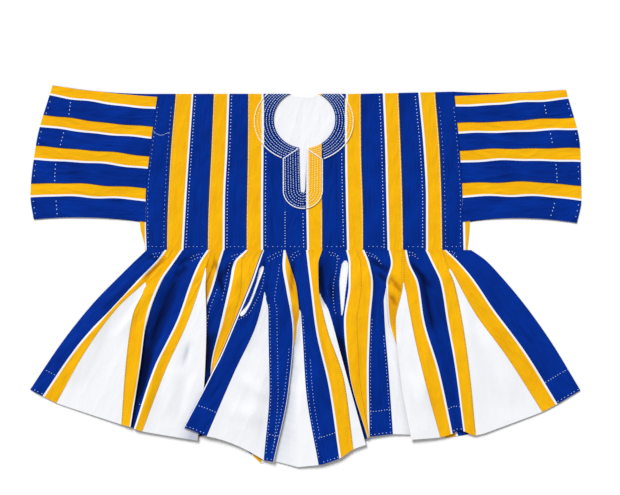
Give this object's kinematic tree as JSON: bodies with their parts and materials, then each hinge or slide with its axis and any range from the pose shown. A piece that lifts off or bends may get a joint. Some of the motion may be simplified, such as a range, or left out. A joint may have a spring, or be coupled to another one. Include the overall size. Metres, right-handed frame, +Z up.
{
  "type": "batakari smock",
  "caption": "Handwoven striped smock lying flat: wide square sleeves, embroidered neck ring and slit placket, flared skirt of strips and gores with soft folds.",
  "frame": {"origin": "under the middle of the garment's outline, on the surface that it lies on", "axes": "+X to the viewer's right, the wearer's left sleeve side; +Y from hem to neck; +Z up off the surface, out of the front"},
  "size_m": [1.3769, 0.949, 0.0168],
  "materials": {
    "striped_cloth": "matt handwoven cotton in royal blue with gold bands and thin white lines",
    "white_cloth": "matt plain white cotton",
    "embroidered_cloth": "the striped cloth closely quilted with rows of pale thread",
    "stitch_thread": "slightly glossy cotton thread"
  },
  "bodies": {
    "root": {"back_lining": "white_cloth", "back_skirt_gore_a": "white_cloth", "back_skirt_gore_b": "white_cloth", "back_skirt_gore_c": "white_cloth", "back_skirt_gore_d": "white_cloth", "back_skirt_gore_e": "white_cloth", "back_skirt_strip_a": "striped_cloth", "back_skirt_strip_b": "striped_cloth", "back_skirt_strip_c": "striped_cloth", "back_skirt_strip_d": "striped_cloth", "back_skirt_strip_e": "striped_cloth", "back_skirt_strip_f": "striped_cloth", "back_strip_1": "striped_cloth", "back_strip_2": "striped_cloth", "back_strip_3": "striped_cloth", "back_strip_4": "striped_cloth", "back_strip_5": "striped_cloth", "back_strip_6": "striped_cloth", "back_strip_7": "striped_cloth", "back_strip_8": "striped_cloth", "back_strip_9": "striped_cloth", "front_skirt_gore_a": "white_cloth", "front_skirt_gore_b": "white_cloth", "front_skirt_gore_c": "white_cloth", "front_skirt_gore_d": "white_cloth", "front_skirt_gore_e": "white_cloth", "front_skirt_gore_f": "white_cloth", "front_skirt_gore_g": "white_cloth", "front_skirt_gore_h": "white_cloth", "front_skirt_strip_a": "striped_cloth", "front_skirt_strip_b": "striped_cloth", "front_skirt_strip_c": "striped_cloth", "front_skirt_strip_d": "striped_cloth", "front_skirt_strip_e": "striped_cloth", "front_skirt_strip_f": "striped_cloth", "front_skirt_strip_g": "striped_cloth", "front_skirt_strip_h": "striped_cloth", "front_skirt_strip_i": "striped_cloth", "front_skirt_strip_j": "striped_cloth", "front_skirt_strip_k": "striped_cloth", "front_strip_1": "striped_cloth", "front_strip_2": "striped_cloth", "front_strip_3": "striped_cloth", "front_strip_4": "striped_cloth", "front_strip_5": "striped_cloth", "front_strip_6": "striped_cloth", "front_strip_7": "striped_cloth", "front_strip_8": "striped_cloth", "front_strip_9": "striped_cloth", "neck_ring_back": "embroidered_cloth", "neck_ring_left": "embroidered_cloth", "neck_ring_right": "embroidered_cloth", "placket": "embroidered_cloth", "pocket_left_lining": "white_cloth", "pocket_right_lining": "white_cloth", "sleeve_left_back": "striped_cloth", "sleeve_left_front": "striped_cloth", "sleeve_right_back": "striped_cloth", "sleeve_right_front": "striped_cloth"}
  },
  "joints": []
}
